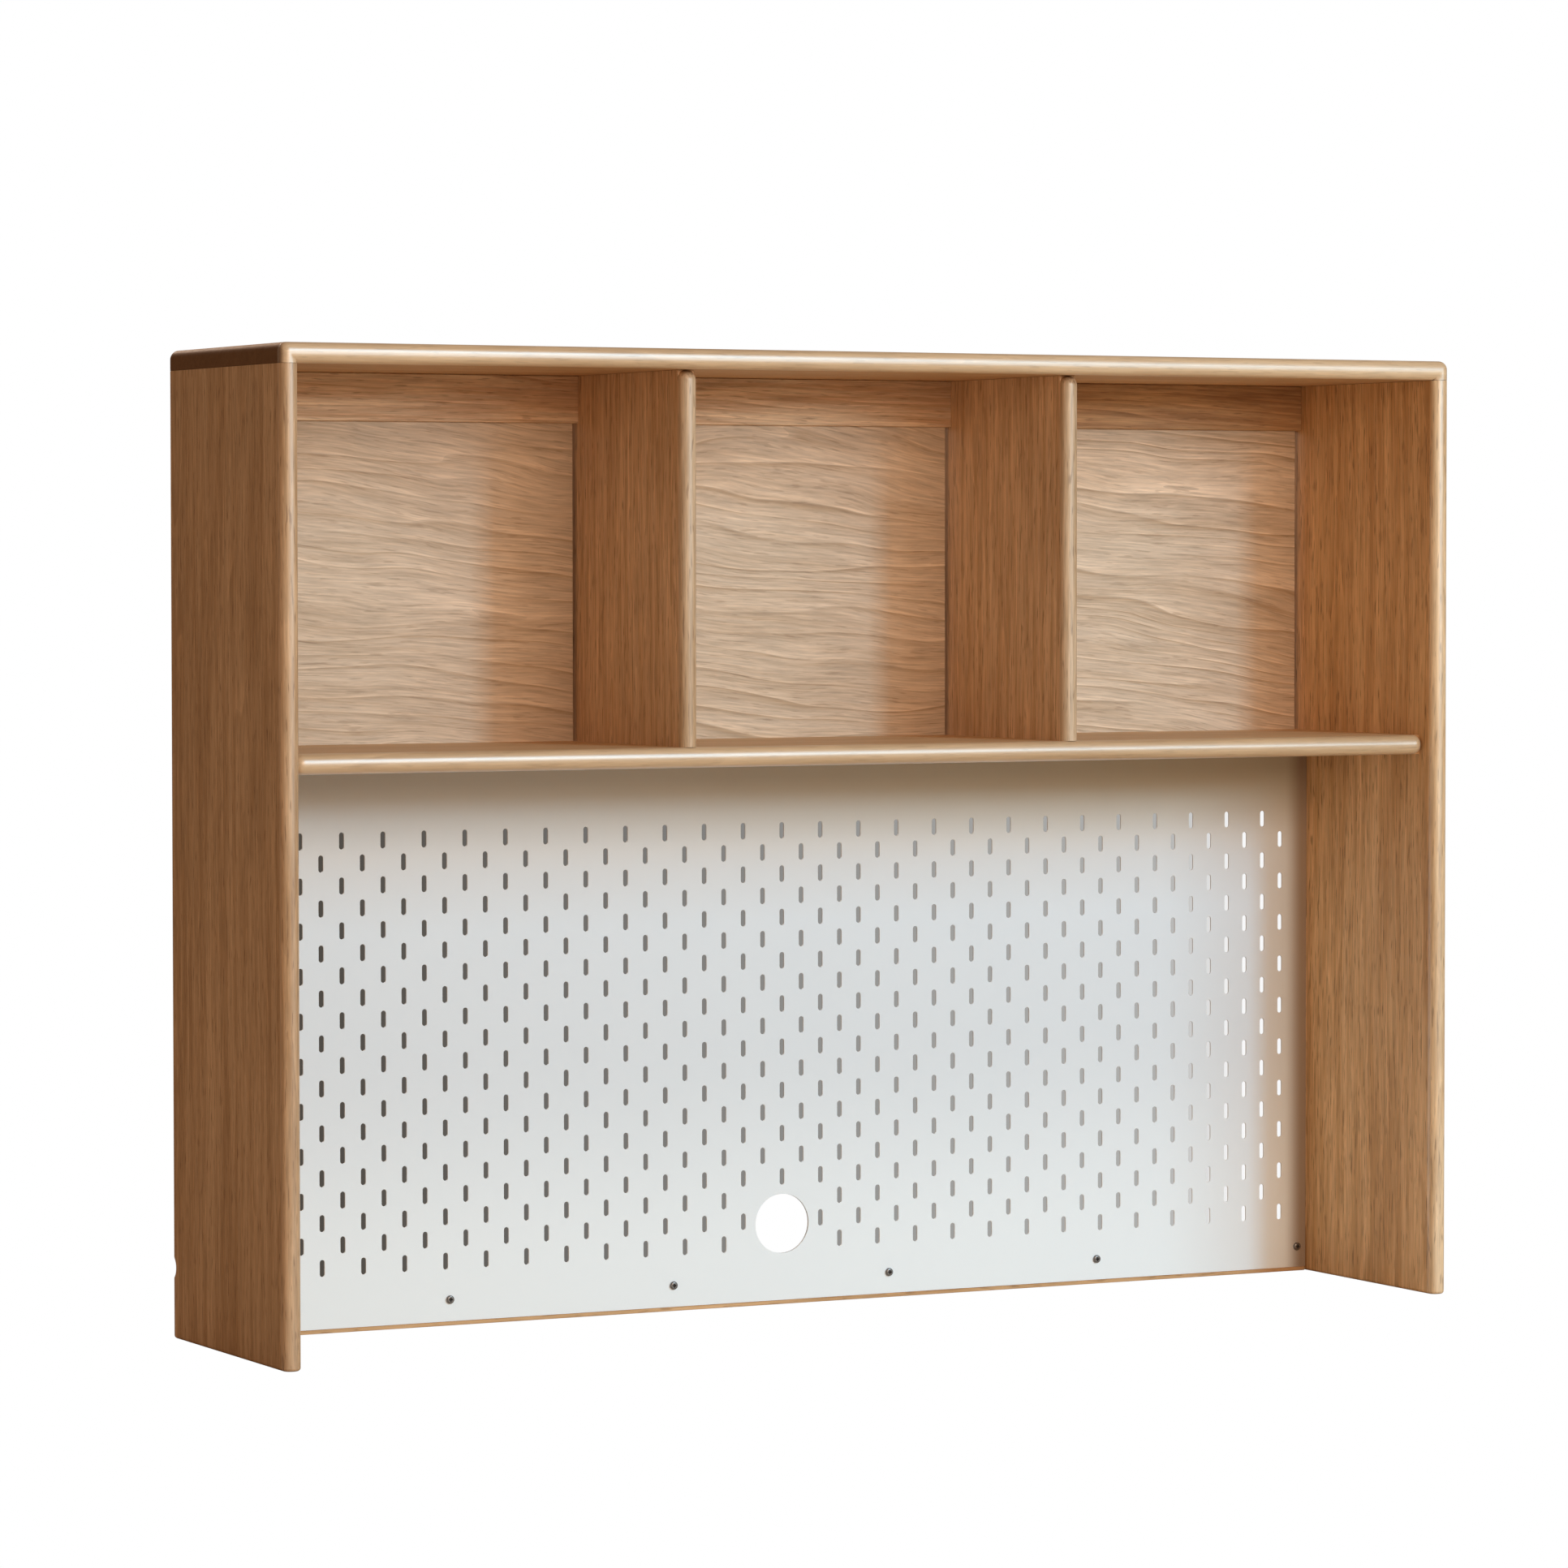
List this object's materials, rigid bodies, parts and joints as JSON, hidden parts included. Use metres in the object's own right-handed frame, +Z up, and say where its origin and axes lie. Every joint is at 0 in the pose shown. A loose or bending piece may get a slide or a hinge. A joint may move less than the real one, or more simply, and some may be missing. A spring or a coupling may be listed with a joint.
{
  "type": "study carrel",
  "caption": "Desk-top study carrel hutch: a rounded wooden case with open bays above a slotted white pegboard with a cable hole.",
  "frame": {"origin": "middle of the case's footprint, on the desk top that the side panels stand on", "axes": "+X along the width, to the right as seen from the front; +Y to the rear, from the open front to the pegboard; +Z up"},
  "size_m": [1.175, 0.26, 0.872],
  "materials": {
    "case_wood": "oiled solid wood, satin",
    "shelf_wood": "oiled solid wood, satin",
    "divider_wood": "oiled solid wood, satin",
    "rail_wood": "oiled solid wood, satin",
    "panel_wood": "oiled solid wood, paler, satin",
    "batten_wood": "oiled solid wood, satin",
    "white_powder_coat": "white powder coat, satin",
    "black_screw": "black oxide, satin",
    "dowel_wood": "turned beech, plain",
    "zinc": "zinc plated",
    "insert_brass": "machined",
    "cap_plastic": "moulded, wood-coloured"
  },
  "bodies": {
    "root": {"left_side_panel": "case_wood", "right_side_panel": "case_wood", "top_panel": "case_wood", "main_shelf": "shelf_wood", "left_divider": "divider_wood", "right_divider": "divider_wood", "left_back_rail": "rail_wood", "centre_back_rail": "rail_wood", "right_back_rail": "rail_wood", "left_back_panel": "panel_wood", "centre_back_panel": "panel_wood", "right_back_panel": "panel_wood", "foot_batten": "batten_wood", "shelf_batten": "batten_wood", "pegboard": "white_powder_coat", "pegboard_screws": "black_screw", "top_dowels": "dowel_wood", "back_rail_dowels": "dowel_wood", "shelf_dowels": "dowel_wood", "batten_dowels": "dowel_wood", "divider_foot_dowels": "dowel_wood", "shelf_cam_bolts": "zinc", "shelf_cams": "zinc", "batten_cam_bolts": "zinc", "batten_cams": "zinc", "divider_screws": "zinc", "foot_inserts": "insert_brass", "cam_caps": "cap_plastic"}
  },
  "joints": []
}
